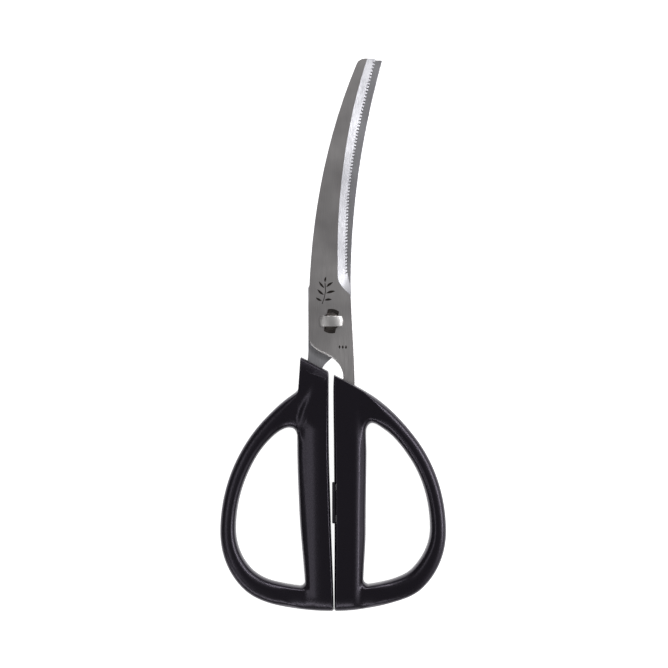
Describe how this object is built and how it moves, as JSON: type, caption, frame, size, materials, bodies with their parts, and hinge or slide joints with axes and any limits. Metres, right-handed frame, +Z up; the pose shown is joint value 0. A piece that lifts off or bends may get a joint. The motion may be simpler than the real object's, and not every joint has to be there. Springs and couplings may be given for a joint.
{
  "type": "poultry shears",
  "caption": "Take-apart poultry shears: two curved steel blades on a T-headed stud, a finely serrated edge, and two moulded handles with D-shaped finger bows and a rubber stop.",
  "frame": {"origin": "middle of the base of the box round the closed shears, which lie flat", "axes": "+Y toward the blade tips, +X toward the finger bow of the upper (front) half, +Z up through the flat of the blades"},
  "size_m": [0.0886, 0.2168, 0.011],
  "materials": {
    "front_blade": "matte ground stainless steel with a lengthwise grain; the cutting bevel is brighter",
    "rear_blade": "matte ground stainless steel",
    "stud": "turned and milled stainless steel, semi-bright",
    "front_handle": "satin black moulded plastic",
    "rear_handle": "satin black moulded plastic",
    "bumper": "matt black elastomer"
  },
  "bodies": {
    "rear_half": {"rear_blade": "rear_blade", "pivot_stud": "stud", "rear_handle": "rear_handle"},
    "front_half": {"front_blade": "front_blade", "front_handle": "front_handle", "stop_bumper": "bumper"}
  },
  "joints": [
    {"name": "pivot", "type": "hinge", "parent": "rear_half", "child": "front_half", "pos_m": [-0.0007, 0.00538, 0.0055], "axis": [0, 0, 1], "range_deg": [0, 100]}
  ]
}
